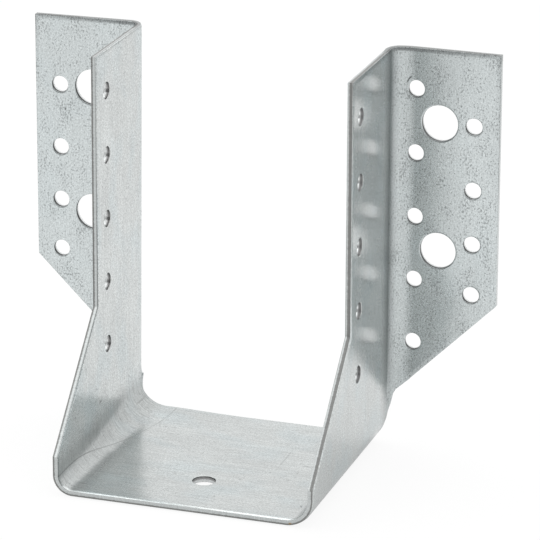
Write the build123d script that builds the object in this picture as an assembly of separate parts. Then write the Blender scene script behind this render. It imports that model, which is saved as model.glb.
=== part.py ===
from build123d import *
import os
from math import cos, pi, radians, sin, tan

# The joist that the hanger carries, and the play beside it
joist_width = 76.0
side_play = 0.5

# The galvanised sheet and the inside radii of its folds
sheet = 2.0
seat_fold_radius = 6.0
flange_fold_radius = 2.5

# Overall form: the header plane is y = 0, the underside of the seat is z = 0
height = 125.0
seat_depth = 77.0
cheek_depth = 42.0
flange_width = 33.0

# Cheek outline: an upright front edge, a long slope and a short upright foot
slope_top = 47.0
slope_foot = 12.0

# Flange outline: the outer edge stops at a corner, then slopes down to the fold
flange_corner = 47.5
flange_slope = 46.0
relief_radius = 5.5

# Punched holes
nail_hole = 5.2
bolt_hole = 11.2
seat_hole = 7.0

# Rows of nail holes, counted down from the top edge
top_margin = 12.5
nail_pitch = 20.0
nail_rows = 5
cheek_hole_margin = 8.0
inner_column = 7.2

# Outer column of nail holes: its steps close up towards the sloping edge
outer_margin = 7.8
outer_drop = 10.0
outer_steps = (20.0, 17.0, 16.0)

# Bolt holes, level with the first hole of the outer column
bolt_column = 14.7
bolt_pitch = 40.0
bolt_rows = 2

# The hole in the seat, measured from the front edge
seat_hole_margin = 20.0

# How far cutting shapes run past the sheet
overrun = 5.0

# Faces and fold lines that follow from the sizes above
inner_face = joist_width / 2 + side_play
outer_face = inner_face + sheet
flange_edge = outer_face + flange_width
fold_x = outer_face + flange_fold_radius
fold_y = -(sheet + flange_fold_radius)
fold_outer_radius = flange_fold_radius + sheet
fold_length = (flange_fold_radius + sheet / 2) * pi / 2
slope = tan(radians(flange_slope))


def side_view(*points):
    """A face in the side view, from points given as (y, z)."""
    return Plane.YZ * make_face(Polyline(*points, close=True))


def front_view(*points):
    """A face in the front view, from points given as (x, z)."""
    return Plane(origin=(0, 0, 0), x_dir=(1, 0, 0), z_dir=(0, -1, 0)) * make_face(Polyline(*points, close=True))


def channel():
    """The seat and both cheeks: a U section run from the flange fold to the front edge."""
    outline = Rectangle(2 * outer_face, height, align=(Align.CENTER, Align.MIN))
    outline = fillet(outline.vertices().group_by(Axis.Y)[0], seat_fold_radius + sheet)
    hollow = Pos(0, sheet) * Rectangle(2 * inner_face, height, align=(Align.CENTER, Align.MIN))
    hollow = fillet(hollow.vertices().group_by(Axis.Y)[0], seat_fold_radius)
    section = Plane(origin=(0, fold_y, 0), x_dir=(1, 0, 0), z_dir=(0, -1, 0)) * (outline - hollow)
    return extrude(section, amount=seat_depth + fold_y)


def front_waste():
    """What is sheared off in front of the cheeks, above the foot."""
    waste = side_view(
        (-seat_depth - overrun, slope_foot),
        (-seat_depth, slope_foot),
        (-cheek_depth, slope_top),
        (-cheek_depth, height + overrun),
        (-seat_depth - overrun, height + overrun),
    )
    return extrude(waste, amount=flange_edge, both=True)


def flange():
    """The flat of the right flange, with its sloping lower edge."""
    plate = front_view(
        (fold_x, height),
        (flange_edge, height),
        (flange_edge, flange_corner),
        (fold_x, flange_corner - (flange_edge - fold_x) * slope),
    )
    return extrude(plate, amount=sheet)


def fold_waste_section(travel, level):
    """A radial slice of the fold's waste, at a developed distance from the cheek, up to a level."""
    angle = travel / fold_length * pi / 2
    outward = Vector(-cos(angle), sin(angle), 0)
    plane = Plane(origin=(fold_x, fold_y, 0), x_dir=outward, z_dir=outward.cross(Vector(0, 0, 1)))
    near = flange_fold_radius - flange_fold_radius / 4
    far = fold_outer_radius + flange_fold_radius / 4
    slice_outline = Polyline((near, -overrun), (far, -overrun), (far, level), (near, level), close=True)
    return plane * make_face(slice_outline)


def fold_waste():
    """Waste under the fold: the flange's slope carried round it, with a fillet into the cheek."""
    slope_end = flange_corner - (flange_edge - fold_x) * slope
    corner = slope_end - fold_length * slope
    turn = radians(90 - flange_slope)
    tangent = relief_radius * tan(turn / 2)
    arc_slices = 5
    arc = []
    for step in range(arc_slices):
        swing = turn * step / (arc_slices - 1)
        travel = relief_radius * (1 - cos(swing))
        arc.append(fold_waste_section(travel, corner - tangent + relief_radius * sin(swing)))
    slope_slices = 5
    start = relief_radius * (1 - cos(turn))
    run = []
    for step in range(slope_slices):
        travel = start + (fold_length - start) * step / (slope_slices - 1)
        run.append(fold_waste_section(travel, corner + travel * slope))
    return loft(arc), loft(run)


def fold():
    """The quarter turn that joins the right cheek to its flange."""
    ring = Circle(fold_outer_radius) - Circle(flange_fold_radius)
    quarter = ring & Rectangle(fold_outer_radius, fold_outer_radius, align=(Align.MAX, Align.MIN))
    turned = extrude(Pos(fold_x, fold_y) * quarter, amount=height)
    for waste in fold_waste():
        turned -= waste
    return turned


def nail_levels():
    """Heights of the evenly spaced nail rows."""
    return [height - top_margin - nail_pitch * row for row in range(nail_rows)]


def outer_levels():
    """Heights of the outer column of nail holes."""
    levels = [height - top_margin - outer_drop]
    for step in outer_steps:
        levels.append(levels[-1] - step)
    return levels


def bolt_levels():
    """Heights of the bolt holes."""
    return [height - top_margin - outer_drop - bolt_pitch * row for row in range(bolt_rows)]


def flange_punch(column, level, diameter):
    """A round punch through a flange, along y."""
    return Pos(column, -sheet / 2, level) * Rot(90, 0, 0) * Cylinder(diameter / 2, sheet + 2 * overrun)


def cheek_punch(level):
    """A round punch through both cheeks, along x."""
    across = 2 * (outer_face + overrun)
    return Pos(0, cheek_hole_margin - cheek_depth, level) * Rot(0, 90, 0) * Cylinder(nail_hole / 2, across)


def seat_punch():
    """A round punch through the seat, along z."""
    return Pos(0, seat_hole_margin - seat_depth, sheet / 2) * Cylinder(seat_hole / 2, sheet + 2 * overrun)


def punches():
    """Every hole of the blank, in its folded place."""
    tools = [seat_punch()]
    for level in nail_levels():
        tools.append(cheek_punch(level))
    for side in (-1, 1):
        for level in nail_levels():
            tools.append(flange_punch(side * (outer_face + inner_column), level, nail_hole))
        for level in outer_levels():
            tools.append(flange_punch(side * (flange_edge - outer_margin), level, nail_hole))
        for level in bolt_levels():
            tools.append(flange_punch(side * (outer_face + bolt_column), level, bolt_hole))
    return tools


def joist_hanger():
    """One folded sheet: seat, two cheeks and two outward flanges."""
    wing = fold() + flange()
    body = (channel() - front_waste()) + wing + mirror(wing, about=Plane.YZ)
    for tool in punches():
        body -= tool
    return body


os.makedirs("parts", exist_ok=True)
export_step(joist_hanger(), "parts/joist_hanger.step")
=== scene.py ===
from math import atan, cos, pi, radians, sin, tan

import bmesh
import bpy
from mathutils import Matrix, Quaternion, Vector


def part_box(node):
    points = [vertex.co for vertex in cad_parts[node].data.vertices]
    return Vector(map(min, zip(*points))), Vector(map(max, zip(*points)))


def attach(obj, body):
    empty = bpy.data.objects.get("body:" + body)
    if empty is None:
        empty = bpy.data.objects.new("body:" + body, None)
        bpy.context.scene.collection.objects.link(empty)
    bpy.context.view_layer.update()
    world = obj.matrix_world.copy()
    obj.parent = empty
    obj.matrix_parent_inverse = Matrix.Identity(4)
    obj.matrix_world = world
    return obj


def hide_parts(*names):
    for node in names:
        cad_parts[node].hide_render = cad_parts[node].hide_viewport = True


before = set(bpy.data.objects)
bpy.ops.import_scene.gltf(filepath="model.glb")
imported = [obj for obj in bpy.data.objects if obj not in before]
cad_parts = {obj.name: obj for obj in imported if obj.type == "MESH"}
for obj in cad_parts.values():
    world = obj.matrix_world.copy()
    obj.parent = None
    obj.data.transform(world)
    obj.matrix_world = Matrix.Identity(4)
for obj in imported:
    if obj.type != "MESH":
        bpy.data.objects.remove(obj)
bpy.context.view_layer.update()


# The joist hanger is a single sheet of pre-galvanised steel, 2 mm thick.
# A press punches its holes and shears its outline, then folds it four times:
# the seat turns up into two cheeks, and each cheek turns out into a nailing flange.
mm = 0.001
low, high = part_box("joist_hanger")
height = high.z
flange_edge = high.x
seat_front = low.y

sheet = 2.0 * mm
seat_fold_radius = 6.0 * mm
flange_fold_radius = 2.5 * mm
cheek_front = -42.0 * mm
flange_width = 33.0 * mm
slope_top = 47.0 * mm
slope_foot = 12.0 * mm
flange_slope = tan(radians(44.8))

# The blank lies flat with its length along the strip, its width from front to back,
# and its depth from the outer side at 0 to the inner side
outer_face = flange_edge - flange_width
seat_outer_radius = seat_fold_radius + sheet
seat_flat = outer_face - seat_outer_radius
seat_turn = (seat_fold_radius + sheet / 2) * pi / 2
cheek_start = seat_flat + seat_turn
fold_line = -(sheet + flange_fold_radius)
flange_turn = (flange_fold_radius + sheet / 2) * pi / 2
flange_start = outer_face + flange_fold_radius


def along(level):
    """The blank's length coordinate of a height on the cheeks and flanges."""
    return cheek_start + level - seat_outer_radius


def across(x):
    """The blank's width coordinate of a distance from the centre on the flanges."""
    return fold_line + flange_turn + x - flange_start


# The sheared outline: up the front edge, down the flange, and round the relief into the back edge
flange_root = across(flange_start)
flat_margin = 6.0 * mm
relief_radius = 4.0 * mm
relief_edge = -0.9 * mm
knee_level = 10.5 * mm
knee_radius = 2.5 * mm
heel_inset = 2.6 * mm
heel_radius = 3.0 * mm
corner_steps = 10


def rounded(before, corner, after, radius):
    """The points of an arc that rounds a corner of the outline."""
    before, corner, after = Vector(before), Vector(corner), Vector(after)
    into, out = (before - corner).normalized(), (after - corner).normalized()
    half = into.angle(out) / 2
    centre = corner + (into + out).normalized() * radius / sin(half)
    start = corner + into * radius / tan(half) - centre
    end = corner + out * radius / tan(half) - centre
    turns = [start.slerp(end, step / corner_steps) for step in range(corner_steps + 1)]
    return [tuple(centre + turn.normalized() * radius) for turn in turns]


def half_outline(cheek_drop, fold_drop, edge_drop, flange_corner, fold_share):
    """One half of the outline: how far its top edge drops at three places, the level of the flange's
    lower corner, and how much of the flange's slope the fold keeps."""
    flat_end = across(outer_face + flat_margin)
    slope_end = flange_corner - (across(flange_edge) - flat_end) * flange_slope
    fold_slope = flange_slope * fold_share
    relief_corner = slope_end - (flat_end - relief_edge) * fold_slope
    relief_turn = pi / 2 - atan(fold_slope)
    relief_tangent = relief_radius * tan(relief_turn / 2)
    back_edge = (along(relief_corner - relief_tangent), relief_edge)
    knee = (along(knee_level), relief_edge)
    heel = (cheek_start - heel_inset, fold_line)
    points = [
        (along(slope_foot), seat_front),
        (along(slope_top), cheek_front),
        (along(height), cheek_front),
        (along(height - cheek_drop), fold_line - 2.0 * mm),
        (along(height - fold_drop), flange_root - 1.5 * mm),
        (along(height - edge_drop), across(flange_edge)),
        (along(flange_corner), across(flange_edge)),
        (along(slope_end), flat_end),
    ]
    for step in range(corner_steps, -1, -1):
        swing = relief_turn * step / corner_steps
        points.append((
            back_edge[0] + relief_radius * sin(swing),
            relief_edge + relief_radius * (1 - cos(swing)),
        ))
    points += rounded(back_edge, knee, heel, knee_radius)
    points += rounded(knee, heel, (0.0, fold_line), heel_radius)
    return points


right_half = half_outline(0.50 * mm, 0.0, 0.0, 46.6 * mm, 0.80)
left_half = half_outline(0.45 * mm, 0.45 * mm, 1.0 * mm, 47.0 * mm, 0.96)
outline = right_half + [(-length, width) for length, width in reversed(left_half)]

# Punched holes as (length, width, diameter) on the blank
nail_hole = 5.2 * mm
bolt_hole = 11.2 * mm
seat_hole = 7.0 * mm
nail_pitch = 20.0 * mm
nail_rows = 5
cheek_hole_margin = 8.0 * mm
inner_column = 7.2 * mm
outer_margin = 7.8 * mm
bolt_column = 14.7 * mm
seat_hole_margin = 20.0 * mm
first_row = height - 12.5 * mm
outer_rows = [first_row - drop * mm for drop in (10.0, 30.0, 47.0, 63.0)]
bolt_rows = [first_row - drop * mm for drop in (10.0, 50.0)]
holes = [(0.0, seat_front + seat_hole_margin, seat_hole)]
for side in (-1, 1):
    for row in range(nail_rows):
        level = first_row - nail_pitch * row
        holes.append((side * along(level), cheek_front + cheek_hole_margin, nail_hole))
        holes.append((side * along(level), across(outer_face + inner_column), nail_hole))
    for level in outer_rows:
        holes.append((side * along(level), across(flange_edge - outer_margin), nail_hole))
    for level in bolt_rows:
        holes.append((side * along(level), across(outer_face + bolt_column), bolt_hole))

# The blank's skin: rings that follow the sheared outline and each hole, and a filled field between them.
# The shear rounds the inner rim, and draws the outer side down a little over a wider band.
# The last ring lies flat, so that the field beyond it keeps its plane.
outline_rings = [0.10 * mm, 0.12 * mm, 0.16 * mm, 0.22 * mm, 0.30 * mm, 0.40 * mm, 0.20 * mm]
hole_rings = [0.08 * mm, 0.10 * mm, 0.12 * mm, 0.10 * mm, 0.12 * mm]
hole_sides = {seat_hole: 36, nail_hole: 36, bolt_hole: 56}
# Depth and width of what the shear draws down, on the outer and on the inner side
outline_shear = (0.28 * mm, 1.3 * mm, 0.28 * mm, 0.90 * mm)
hole_shear = (0.11 * mm, 0.40 * mm, 0.05 * mm, 0.25 * mm)
outer_curve = 1.4
inner_curve = 1.6
blank = bmesh.new()
from_edge = blank.verts.layers.float.new("from_edge")
punched = blank.verts.layers.float.new("punched")
outer_sink = blank.verts.layers.float.new("outer_sink")
inner_sink = blank.verts.layers.float.new("inner_sink")


def shear_marks(verts, inset, outer_depth, outer_width, inner_depth, inner_width):
    """Notes on each point how far it lies from the cut, and how far the cut pulled each side down there."""
    for v in verts:
        v[from_edge] = inset
        v[outer_sink] = outer_depth * max(0.0, 1 - inset / outer_width) ** outer_curve
        v[inner_sink] = inner_depth * max(0.0, 1 - inset / inner_width) ** inner_curve


field = blank.faces.new([blank.verts.new((length, width, 0.0)) for length, width in outline])
inset = 0.0
shear_marks(field.verts, inset, *outline_shear)
for ring in outline_rings:
    bmesh.ops.inset_region(blank, faces=[field], use_boundary=True, use_even_offset=True, thickness=ring)
    inset += ring
    shear_marks(field.verts, inset, *outline_shear)
bmesh.ops.delete(blank, geom=[field], context="FACES_ONLY")
for length, width, diameter in holes:
    inset = sum(hole_rings)
    made = bmesh.ops.create_circle(
        blank, cap_ends=True, segments=hole_sides[diameter],
        radius=diameter / 2 + inset, matrix=Matrix.Translation((length, width, 0.0)),
    )
    disc = made["verts"][0].link_faces[0]
    shear_marks(disc.verts, inset, *hole_shear)
    for ring in reversed(hole_rings):
        bmesh.ops.inset_region(blank, faces=[disc], use_boundary=True, use_even_offset=True, thickness=ring)
        inset -= ring
        shear_marks(disc.verts, inset, *hole_shear)
    shear_marks(disc.verts, 0.0, *hole_shear)
    for v in disc.verts:
        v[punched] = 1.0
    bmesh.ops.delete(blank, geom=[disc], context="FACES_ONLY")
field_edges = [e for e in blank.edges if e.is_boundary and e.verts[0][from_edge] > 0]
bmesh.ops.triangle_fill(blank, use_beauty=True, edges=field_edges, normal=(0, 0, 1))

# Lines across the blank where it will turn, close together in each fold
seat_turns = [28.5 * mm + step * 0.5 * mm for step in range(46)]
seat_turns += [4.5 * mm * step for step in range(1, 6)]
flange_turns = [-5.6 * mm + step * 0.33 * mm for step in range(35)]
turn_lines = []
for length in seat_turns:
    turn_lines += [((length, 0, 0), (1, 0, 0)), ((-length, 0, 0), (1, 0, 0))]
for width in flange_turns:
    turn_lines.append(((0, width, 0), (0, 1, 0)))
for place, direction in turn_lines:
    everything = blank.verts[:] + blank.edges[:] + blank.faces[:]
    bmesh.ops.bisect_plane(blank, geom=everything, dist=1e-7, plane_co=place, plane_no=direction)

# The skin is drawn up to the sheet's thickness, and its cut wall divided into the zones a shear leaves
wall_zones = [0.0, 0.50 * mm, 0.80 * mm, 1.10 * mm, 1.40 * mm, 1.62 * mm, sheet]
grown = bmesh.ops.extrude_face_region(blank, geom=blank.faces[:], use_keep_orig=True)
raised = {item for item in grown["geom"] if isinstance(item, bmesh.types.BMVert)}
bmesh.ops.translate(blank, vec=(0, 0, sheet), verts=list(raised))
upright = [e for e in blank.edges if (e.verts[0] in raised) != (e.verts[1] in raised)]
bmesh.ops.subdivide_edges(blank, edges=upright, cuts=len(wall_zones) - 2, use_grid_fill=True)
bmesh.ops.recalc_face_normals(blank, faces=blank.faces[:])


def eased(value, start, end):
    """Runs from 0 to 1 between two values, with soft ends."""
    share = min(1.0, max(0.0, (value - start) / (end - start)))
    return share * share * (3 - 2 * share)


# The side edges of the flanges were slit, not sheared, and stay nearly flat
slit_zone = (across(flange_edge) - 1.4 * mm, across(flange_edge) - 0.2 * mm)
slit_share = 0.8
rim_turn = 0.6
blank_place = blank.verts.layers.float_vector.new("blank_place")
rims = []
for v in blank.verts:
    zone = round(v.co.z / sheet * (len(wall_zones) - 1))
    v.co.z = wall_zones[zone]
    if zone == 0:
        v.co.z += v[outer_sink] * (1 - slit_share * eased(v.co.y, *slit_zone))
    if zone == len(wall_zones) - 1:
        v.co.z -= v[inner_sink]
        if v[from_edge] == 0:
            rims.append(v)
    v[blank_place] = v.co
for v in rims:
    inward = next(e.other_vert(v) for e in v.link_edges if e.other_vert(v)[from_edge] > 0)
    v.co.xy = v.co.xy.lerp(inward.co.xy, rim_turn)


# The folds as the press left them: the left seat fold opens towards the back and its cheek leans a little,
# and the right flange turns tightly at the cheek and then runs out on a wide radius
right_seat_radius = 6.5 * mm
left_seat_radius = (4.2 * mm, 8.5 * mm)
left_lift = 0.5 * mm
lift_start = 6.0 * mm
lift_end = 40.0 * mm
left_lean = 0.009
upright_level = 85.0 * mm
tight_radius = {-1: 3.0 * mm, 1: 2.2 * mm}
wide_radius = {-1: 3.0 * mm, 1: 16.0 * mm}
tight_turn = radians(70.0)
flange_bow = {-1: 0.0, 1: 0.50 * mm}
fold_fade = (7.8 * mm, 15.0 * mm)


def lean_at(width):
    """How much the left cheek leans outwards per height, which is most at its back edge."""
    return left_lean * ((width - seat_front) / (fold_line - seat_front)) ** 2


def wing(side, width, depth, level):
    """A point of the cheek, flange fold or flange, as on the right-hand side."""
    tight, wide = tight_radius[side], wide_radius[side]
    out = tight * (1 - cos(tight_turn)) + wide * cos(tight_turn)
    fold_start = -sheet - tight * sin(tight_turn) - wide * (1 - sin(tight_turn))
    fold_end = across(outer_face + out)
    tight_run = (tight + sheet / 2) * tight_turn
    wide_run = (wide + sheet / 2) * (pi / 2 - tight_turn)
    change = fold_start + (fold_end - fold_start) * tight_run / (tight_run + wide_run)
    if width <= fold_start:
        place = Vector((outer_face - depth, width))
    elif width < fold_end:
        if width < change:
            angle = (width - fold_start) / (change - fold_start) * tight_turn
            centre, reach = Vector((outer_face + tight, fold_start)), tight + depth
        else:
            angle = tight_turn + (width - change) / (fold_end - change) * (pi / 2 - tight_turn)
            centre, reach = Vector((outer_face + out, -sheet - wide)), wide + depth
        turned = centre + reach * Vector((-cos(angle), sin(angle)))
        place = Vector((outer_face - depth, width)).lerp(turned, eased(level, *fold_fade))
    else:
        bow = flange_bow[side] * sin(pi * (width - fold_end) / (across(flange_edge) - fold_end))
        turned = Vector((outer_face + out + width - fold_end, depth - sheet - bow))
        place = Vector((outer_face - depth, width)).lerp(turned, eased(level, *fold_fade))
    if side < 0:
        reach = max(0.0, place.x - outer_face) / flange_width
        place.x += lean_at(min(width, fold_line)) * (upright_level - level) * (1 - reach)
    return place


def folded(place):
    """Where a point of the flat blank comes to lie once the sheet is folded."""
    side = -1 if place.x < 0 else 1
    length, width, depth = abs(place.x), place.y, place.z
    radius, lift, lean = right_seat_radius, 0.0, 0.0
    if side < 0:
        back = min(1.0, (width - seat_front) / (fold_line - seat_front))
        radius = left_seat_radius[0] + (left_seat_radius[1] - left_seat_radius[0]) * back
        lift = left_lift * back ** 2
        lean = lean_at(width)
    outer_radius = radius + sheet
    seat_end = outer_face - outer_radius
    cheek_begin = cheek_start + outer_radius - seat_outer_radius
    if length < seat_end:
        spread = lean * upright_level * length / seat_end
        return Vector((side * (length + spread), width, depth + lift * eased(length, lift_start, seat_end)))
    if length < cheek_begin:
        angle = (length - seat_end) / (cheek_begin - seat_end) * pi / 2
        reach = outer_radius - depth
        level = outer_radius - reach * cos(angle)
        spread = lean * (upright_level - level)
        return Vector((side * (seat_end + spread + reach * sin(angle)), width, level + lift))
    level = outer_radius + length - cheek_begin
    place = wing(side, width, depth, level)
    return Vector((side * place.x, place.y, level + lift * (1 - eased(level, outer_radius, lift_end))))


# The first material slot is the zinc coat, and the second the cut faces
for face in blank.faces:
    face.smooth = True
    face.material_index = 1 if all(v[from_edge] < 1e-9 for v in face.verts) else 0
for v in blank.verts:
    v.co = folded(v.co)
bmesh.ops.recalc_face_normals(blank, faces=blank.faces[:])
# The cut wall turns sharply at the outline's corners, and softly at its rims and round the holes
sharp_turn = radians(20.0)
for edge in blank.edges:
    if all(face.material_index == 1 for face in edge.link_faces):
        edge.smooth = edge.calc_face_angle() < sharp_turn

hanger_mesh = bpy.data.meshes.new("folded_hanger")
blank.to_mesh(hanger_mesh)
blank.free()
hanger = bpy.data.objects.new("folded_hanger", hanger_mesh)
bpy.context.scene.collection.objects.link(hanger)


def add(tree, kind, inputs=None, **settings):
    """Adds a shader node, sets its options, and fills or links its sockets."""
    node = tree.nodes.new("ShaderNode" + kind)
    for name, value in settings.items():
        setattr(node, name, value)
    for name, value in (inputs or {}).items():
        if isinstance(value, bpy.types.NodeSocket):
            tree.links.new(value, node.inputs[name])
        else:
            node.inputs[name].default_value = value
    return node


def maths(tree, operation, *terms):
    """The result of a sum on numbers or sockets."""
    return add(tree, "Math", dict(enumerate(terms)), operation=operation).outputs[0]


def product(tree, first, *others):
    """Masks, shades or numbers multiplied together."""
    for other in others:
        first = maths(tree, "MULTIPLY", first, other)
    return first


def raised_by(tree, base, mask, amount):
    """A base that is an amount higher where the mask is 1."""
    return maths(tree, "MULTIPLY_ADD", mask, amount, base)


def darker(tree, shade, mask, share):
    """A shade that loses a share of its light where the mask is 1."""
    return product(tree, shade, raised_by(tree, 1.0, mask, -share))


def between(tree, value, start, end, low=0.0, high=1.0):
    """Runs softly from low to high as a value goes from start to end."""
    limits = {"Value": value, "From Min": start, "From Max": end, "To Min": low, "To Max": high}
    return add(tree, "MapRange", limits, interpolation_type="SMOOTHSTEP").outputs["Result"]


def varied(tree, value, amount):
    """A factor that swings about 1 with a noise."""
    return maths(tree, "MULTIPLY_ADD", value, amount, 1 - amount / 2)


def blend(tree, share, first, second):
    """A colour that goes from the first to the second with the share."""
    return add(tree, "Mix", {0: share, 6: first, 7: second}, data_type="RGBA").outputs[2]


def scaled(tree, vector, factor):
    """A colour or vector times a factor."""
    return add(tree, "VectorMath", {0: vector, "Scale": factor}, operation="SCALE").outputs[0]


def length_of(tree, vector):
    """The distance of a place from the origin."""
    return add(tree, "VectorMath", {0: vector}, operation="LENGTH").outputs["Value"]


def grains(tree, flat, length, width, detail=1.0, through=None):
    """Noise with grains of this length and width, in millimetres, as they lie on the blank."""
    size = (1 / length, 1 / width, 1 / (through or width))
    laid = add(tree, "Mapping", {"Vector": flat, "Scale": size, "Location": (length, width, detail)})
    noise = add(tree, "TexNoise", {"Vector": laid.outputs[0], "Scale": 1.0, "Detail": detail})
    return noise.outputs[0]


def spot(tree, flat, centre, half, turn=0.0, softness=0.6):
    """A soft oval mark on one side of the blank, from its centre and half sizes in millimetres."""
    spread = {"Vector": flat, "Location": centre, "Rotation": (0, 0, radians(turn)), "Scale": half}
    laid = add(tree, "Mapping", spread, vector_type="TEXTURE")
    return between(tree, length_of(tree, laid.outputs[0]), 1.0, 1.0 - softness)


def blank_flat(tree):
    """Places on the flat blank in millimetres, whole and as length, width and depth."""
    place = add(tree, "Attribute", attribute_name="blank_place").outputs["Vector"]
    flat = scaled(tree, place, 1 / mm)
    return flat, *add(tree, "SeparateXYZ", {0: flat}).outputs


# The coat: zinc rolled smooth on the strip, with fine pits, rolling streaks and soft clouds.
# The flanges show more pits than the cheeks and the seat. All zones are in millimetres on the blank.
zinc = bpy.data.materials.new("zinc_coat")
zinc.use_nodes = True
tree = zinc.node_tree
flat, length, width, depth = blank_flat(tree)
from_middle = maths(tree, "ABSOLUTE", length)
outer_side = between(tree, depth, 1.2, 0.8)
inner_side = between(tree, depth, 1.2, 1.6)
on_flange = between(tree, width, -7.5, -2.0)
off_flange = maths(tree, "SUBTRACT", 1.0, on_flange)
on_cheek = product(tree, between(tree, from_middle, 42.0, 50.0), off_flange)
clouds = grains(tree, flat, 26.0, 14.0, 3.0)
patches = grains(tree, flat, 9.0, 5.0, 2.0)
streaks = grains(tree, flat, 16.0, 0.55, 2.0)
fine_streaks = grains(tree, flat, 5.0, 0.32, 1.0)
grit = grains(tree, flat, 0.55, 0.48, 4.0)
pit_noise = grains(tree, flat, 0.70, 0.55, 4.0)

# Pits gather in patches, and most of them lie on the flanges
pit_base = 0.14
pit_gathering = 0.42
flange_pits = 0.06
pit_limit = raised_by(tree, pit_base, patches, pit_gathering)
pit_limit = raised_by(tree, pit_limit, on_flange, flange_pits)
pits = between(tree, maths(tree, "SUBTRACT", pit_limit, pit_noise), -0.04, 0.06)

# How far the clouds, the rolling, the grit and the pits change the coat's shade
cloud_swing = 0.20
patch_swing = 0.12
streak_weight = 0.9
rolling_swing = 0.34
flange_rolling = -0.20
grit_base = 0.85
flange_grit = 0.10
cheek_grit = 0.65
pit_shade = 0.22
flange_pit_shade = 0.12
shade = product(tree, varied(tree, clouds, cloud_swing), varied(tree, patches, patch_swing))
fine_rolling = maths(tree, "SUBTRACT", fine_streaks, 0.5)
rolling = raised_by(tree, fine_rolling, maths(tree, "SUBTRACT", streaks, 0.5), streak_weight)
rolling = product(tree, rolling, raised_by(tree, rolling_swing, on_flange, flange_rolling))
shade = product(tree, shade, maths(tree, "ADD", rolling, 1.0))
grit_swing = raised_by(tree, grit_base, on_flange, flange_grit)
grit_swing = raised_by(tree, grit_swing, on_cheek, cheek_grit)
grit_swing = product(tree, maths(tree, "SUBTRACT", grit, 0.5), grit_swing)
shade = product(tree, shade, maths(tree, "ADD", grit_swing, 1.0))
pit_dark = product(tree, pits, raised_by(tree, pit_shade, on_flange, flange_pit_shade))
shade = product(tree, shade, maths(tree, "SUBTRACT", 1.0, pit_dark))

# The press left a curved line and fine rubs on the inside of the left seat fold, and the fold's inside gets
# a painted shade
line_middle = -37.0
line_stretch = 27.5
line_swing = 15.6
line_slant = -0.165
line_length = -40.0
from_bend = maths(tree, "MULTIPLY_ADD", width, 1 / line_stretch, -line_middle / line_stretch)
line_place = raised_by(tree, line_length, maths(tree, "TANH", from_bend), line_swing)
line_place = raised_by(tree, line_place, width, line_slant)
line_miss = maths(tree, "ABSOLUTE", maths(tree, "SUBTRACT", length, line_place))
line_shade = between(tree, width, -40.0, -28.0, 0.34, 0.20)
press_line = product(tree, between(tree, line_miss, 0.28, 0.10), inner_side, line_shade)
rubbed_and_shaded = product(tree, between(tree, length, -51.0, -43.0), between(tree, length, -28.0, -36.0), inner_side)
# Painted shade darkens the inside of the left seat fold over the rubbed zone
shade = darker(tree, shade, rubbed_and_shaded, 0.19)
rubs = between(tree, grains(tree, flat, 6.0, 0.52, 2.0), 0.49, 0.36)
rub_shade = between(tree, width, -70.0, -45.0, 0.09, 0.20)
rubs = product(tree, rubs, rubbed_and_shaded, rub_shade)
wear = maths(tree, "MAXIMUM", press_line, rubs)

# Nicks, a dot and scratches: centre, half sizes, turn and darkness
marks = [
    ((-51.66, -40.94, 2.0), (0.42, 1.40, 1.0), 4.0, 0.60),
    ((-54.50, -62.40, 2.0), (0.40, 1.10, 1.0), 0.0, 0.35),
    ((-38.70, -10.00, 2.0), (0.36, 6.00, 1.0), -2.9, 0.26),
    ((-130.3, 22.03, 0.0), (0.62, 0.42, 1.0), 0.0, 0.62),
    ((17.63, -33.60, 2.0), (0.32, 10.5, 1.0), 0.7, 0.18),
    ((24.31, -42.50, 2.0), (0.70, 0.45, 1.0), 20.0, 0.42),
    ((23.46, -48.52, 2.0), (0.80, 0.45, 1.0), 0.0, 0.36),
    ((33.80, -66.90, 2.0), (1.50, 0.45, 1.0), -56.0, 0.45),
]
for centre, half, turn, darkness in marks:
    wear = maths(tree, "MAXIMUM", wear, product(tree, spot(tree, flat, centre, half, turn), darkness))

# A washer scraped two short arcs beside the right flange's top hole
washer_reach = 4.2
washer_place = {"Vector": flat, "Location": (148.0, 5.7, 0.0), "Scale": (1.0, 0.84, 1.0)}
round_hole = add(tree, "Mapping", washer_place, vector_type="TEXTURE").outputs[0]
washer_miss = maths(tree, "ABSOLUTE", maths(tree, "SUBTRACT", length_of(tree, round_hole), washer_reach))
ring = between(tree, washer_miss, 0.42, 0.12)
for centre, darkness in (((151.0, 2.9, 0.0), 0.60), ((146.2, 2.3, 0.0), 0.28)):
    arc = product(tree, ring, spot(tree, flat, centre, (1.9, 1.9, 1.0)), darkness)
    wear = maths(tree, "MAXIMUM", wear, arc)
shade = product(tree, shade, maths(tree, "SUBTRACT", 1.0, wear))

# The coat gets painted shade along the flanges' top edges, where the shear pulled the outer side down, and
# in the flange fold, where it is also stretched;
# the flanges get a little painted light, and the right flange painted shade beside its fold
pulled = add(tree, "Attribute", attribute_name="outer_sink").outputs["Fac"]
pulled = product(tree, pulled, 1 / outline_shear[0], outer_side)
top_edge_painted_shade = product(tree, maths(tree, "POWER", pulled, 0.5), between(tree, from_middle, 156.5, 158.0))
# Painted shade along the flanges' top edges, on the band the shear drew down
shade = darker(tree, shade, top_edge_painted_shade, 0.20)
# Painted light: the flanges are made a little lighter
shade = darker(tree, shade, on_flange, -0.03)
# Painted shade in the flange fold, where the coat is also stretched and rougher
stretched_and_painted_shade = product(tree, between(tree, width, -13.0, -4.5), between(tree, width, 0.4, -3.0), outer_side)
shade = darker(tree, shade, stretched_and_painted_shade, 0.18)
# Painted shade on the right flange beside its fold
right_flange_painted_shade = product(tree, between(tree, width, 25.0, 12.0), between(tree, length, 50.0, 60.0), on_flange)
shade = darker(tree, shade, right_flange_painted_shade, 0.10)

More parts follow.
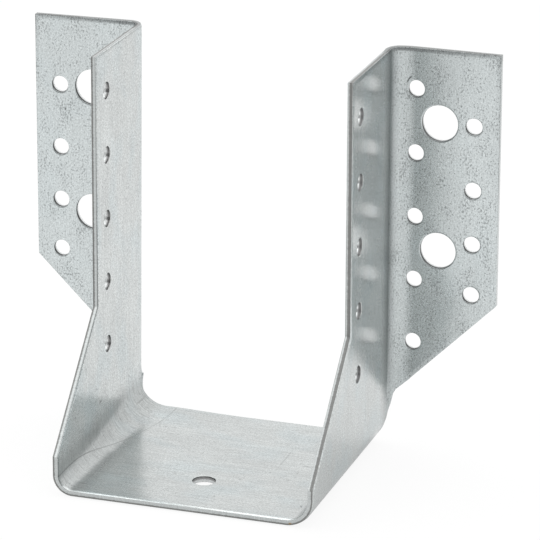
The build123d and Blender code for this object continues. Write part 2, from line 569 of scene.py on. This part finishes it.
# The zinc is bluish, and a little warmer in clouds on the cheeks and the seat
cool_zinc = (0.550, 0.592, 0.596, 1)
warm_zinc = (0.574, 0.597, 0.592, 1)
warmth = raised_by(tree, 1.0, on_flange, -0.75)
warmth = product(tree, warmth, between(tree, grains(tree, flat, 17.0, 11.0, 2.0), 0.30, 0.55))
colour = scaled(tree, blend(tree, warmth, cool_zinc, warm_zinc), shade)

# It is rougher in patches and pits, on the flanges, and where it is stretched, rubbed or worn
gloss = raised_by(tree, 0.17, patches, 0.08)
for mask, rougher in ((pits, 0.10), (on_flange, 0.05), (stretched_and_painted_shade, 0.18), (rubbed_and_shaded, 0.10), (wear, 0.20)):
    gloss = raised_by(tree, gloss, mask, rougher)
relief = raised_by(tree, product(tree, fine_streaks, 0.4), grit, 0.3)
relief = maths(tree, "SUBTRACT", relief, product(tree, pits, 0.3))
relief = maths(tree, "SUBTRACT", relief, product(tree, wear, 2.0))
bump = add(tree, "Bump", {"Height": relief, "Strength": 1.0, "Distance": 0.012 * mm})
shader = tree.nodes["Principled BSDF"]
shader.inputs["Metallic"].default_value = 1.0
shader.inputs["Specular Tint"].default_value = (0.87, 0.87, 0.87, 1)
tree.links.new(colour, shader.inputs["Base Color"])
tree.links.new(gloss, shader.inputs["Roughness"])
tree.links.new(bump.outputs[0], shader.inputs["Normal"])

# The cut faces: bare steel through the thickness, dark where it tore and bright where the blade slid past.
# The torn zone is wider on the right cheek, and the flanges' slit side edges are bright all through.
sheared = bpy.data.materials.new("sheared_steel")
sheared.use_nodes = True
tree = sheared.node_tree
flat, length, width, depth = blank_flat(tree)
torn_steel = (0.240, 0.243, 0.238, 1)
slid_steel = (0.47, 0.492, 0.490, 1)
ragged = grains(tree, flat, 0.45, 0.45, 2.0, through=2.0)
scored = grains(tree, flat, 0.16, 0.16, 1.0, through=3.0)
off_flange = between(tree, width, -7.0, -9.0)
on_flange = between(tree, width, -9.0, -7.0)
right_cheek = product(tree, between(tree, length, 47.2, 47.7), off_flange)
left_cheek = product(tree, between(tree, length, -47.2, -47.7), off_flange)
zone_depth = raised_by(tree, depth, maths(tree, "SUBTRACT", ragged, 0.5), 0.35)
torn_depth = raised_by(tree, zone_depth, right_cheek, -0.42)
slit_edge = between(tree, width, 30.0, 31.0)
bright = maths(tree, "MAXIMUM", between(tree, torn_depth, 0.70, 0.88), slit_edge)
steel = blend(tree, bright, torn_steel, slid_steel)

# Hole walls: the seat and the left cheek were punched from the other side, so their depth runs backwards
hole_bright = (0.74, 0.76, 0.76, 1)
punched = add(tree, "Attribute", attribute_name="punched").outputs["Fac"]
from_inside = product(tree, between(tree, length, 20.0, 15.0), off_flange)
mirrored = maths(tree, "MULTIPLY_ADD", depth, -2.0, 2.0)
wall_depth = maths(tree, "MULTIPLY_ADD", from_inside, mirrored, depth)
hole_dark = between(tree, width, -9.0, -7.0, 0.26, 0.06)
hole_wall = blend(tree, between(tree, wall_depth, 0.75, 1.40), hole_dark, hole_bright)
steel = blend(tree, punched, steel, hole_wall)

# Painted shade draws a dark line near the left cheek's inner rim, and dims the flanges' top edges and the
# right slope
shade = product(tree, varied(tree, scored, 0.45), varied(tree, ragged, 0.20))
# Painted shade: a dark line near the left cheek's inner rim
rim_painted_shade = product(tree, between(tree, depth, 1.42, 1.52), between(tree, depth, 1.74, 1.66), left_cheek)
shade = darker(tree, shade, rim_painted_shade, 0.42)
# Painted shade dims the flanges' top edges and the right slope
flange_top = product(tree, between(tree, maths(tree, "ABSOLUTE", length), 158.0, 159.0), on_flange)
right_slope = product(tree, right_cheek, between(tree, length, 84.0, 83.0))
painted_edge_shade = maths(tree, "MULTIPLY_ADD", right_slope, 0.12, product(tree, flange_top, 0.38))
shade = product(tree, shade, maths(tree, "SUBTRACT", 1.0, painted_edge_shade))
steel = scaled(tree, steel, shade)

# One small brown stain sits on the cut edge at the right foot
stain_brown = (0.30, 0.19, 0.08, 1)
stain = spot(tree, flat, (33.4, -77.0, 0.75), (0.7, 0.5, 0.42), 0.0, 0.8)
steel = blend(tree, product(tree, stain, 0.85), steel, stain_brown)
shader = tree.nodes["Principled BSDF"]
shader.inputs["Metallic"].default_value = 1.0
tree.links.new(steel, shader.inputs["Base Color"])
tree.links.new(between(tree, bright, 0.0, 1.0, 0.48, 0.24), shader.inputs["Roughness"])
bump = add(tree, "Bump", {"Height": scored, "Strength": 1.0, "Distance": 0.01 * mm})
tree.links.new(bump.outputs[0], shader.inputs["Normal"])

hanger_mesh.materials.append(zinc)
hanger_mesh.materials.append(sheared)

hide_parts("joist_hanger")
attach(hanger, "root")


# The studio floor is plain white paper, laid flat a hair under the hanger and out of view on all sides.
# The lens and the metal see part of it as plain white, and the rest of it takes the hanger's shadow.
floor_drop = 0.2 * mm
floor_half = 4.0
seen_white = 0.90
mirrored_white = 0.3
floor_shape = bmesh.new()
bmesh.ops.create_grid(floor_shape, x_segments=1, y_segments=1, size=floor_half)
bmesh.ops.translate(floor_shape, vec=(0, 0, -floor_drop), verts=floor_shape.verts[:])
floor_mesh = bpy.data.meshes.new("floor")
floor_shape.to_mesh(floor_mesh)
floor_shape.free()
floor = bpy.data.objects.new("floor", floor_mesh)
bpy.context.scene.collection.objects.link(floor)
paper = bpy.data.materials.new("white_paper")
paper.use_nodes = True
tree = paper.node_tree
tree.nodes.clear()
rays = add(tree, "LightPath")
matte = add(tree, "BsdfDiffuse", {"Color": (0.92, 0.92, 0.92, 1)})
white = add(tree, "Emission", {"Strength": 1.0})
share = product(tree, rays.outputs["Is Glossy Ray"], mirrored_white)
share = maths(tree, "MAXIMUM", share, product(tree, rays.outputs["Is Camera Ray"], seen_white))
mix = add(tree, "MixShader", {0: share, 1: matte.outputs[0], 2: white.outputs[0]})
add(tree, "OutputMaterial", {0: mix.outputs[0]})
floor_mesh.materials.append(paper)


# Soft studio light comes from a pale room, brightest at the back and dimmer overhead,
# and from a wide square soft box that hangs above the hanger.
world = bpy.data.worlds.new("pale_room")
bpy.context.scene.world = world
world.use_nodes = True
tree = world.node_tree
tree.nodes.clear()
towards = add(tree, "SeparateXYZ", {0: add(tree, "TexCoord").outputs["Generated"]})
front_to_back = between(tree, towards.outputs["Y"], -0.2, 0.65, 0.48, 1.36)
overhead = between(tree, towards.outputs["Z"], 0.50, 0.66, 1.0, 0.6)
wall = product(tree, front_to_back, overhead)
rays = add(tree, "LightPath")
seen = add(tree, "Mix", {0: rays.outputs["Is Camera Ray"], 2: wall, 3: 1.0}, data_type="FLOAT")
room = add(tree, "Background", {"Strength": seen.outputs[0]})
add(tree, "OutputWorld", {0: room.outputs[0]})

soft_box_size = 2.1
soft_box_radiance = 1.40
soft_box = bpy.data.lights.new("soft_box", "AREA")
soft_box.shape = "SQUARE"
soft_box.size = soft_box_size
soft_box.energy = soft_box_radiance * pi * soft_box_size ** 2
soft_box_object = bpy.data.objects.new("soft_box", soft_box)
soft_box_object.location = (-0.20, 0.0, 0.95)
bpy.context.scene.collection.objects.link(soft_box_object)


# The camera stands a little to the right and looks down at the hanger through a long lens,
# from the place that was worked out from the hanger's edges and holes in the photograph.
camera_place = Vector((370.91, -1113.04, 469.01)) * mm
camera_azimuth = radians(18.362)
camera_elevation = radians(19.692)
camera_roll = radians(0.217)
lens = bpy.data.cameras.new("camera")
lens.sensor_width = 36.0
lens.lens = 271.87
lens.clip_start = 0.05
lens.clip_end = 50.0
camera = bpy.data.objects.new("camera", lens)
backward = Vector((
    sin(camera_azimuth) * cos(camera_elevation),
    -cos(camera_azimuth) * cos(camera_elevation),
    sin(camera_elevation),
))
camera.rotation_mode = "QUATERNION"
camera.rotation_quaternion = (-backward).to_track_quat("-Z", "Y") @ Quaternion((0, 0, 1), camera_roll)
camera.location = camera_place
bpy.context.scene.collection.objects.link(camera)
bpy.context.scene.camera = camera
bpy.context.scene.view_settings.view_transform = "Standard"
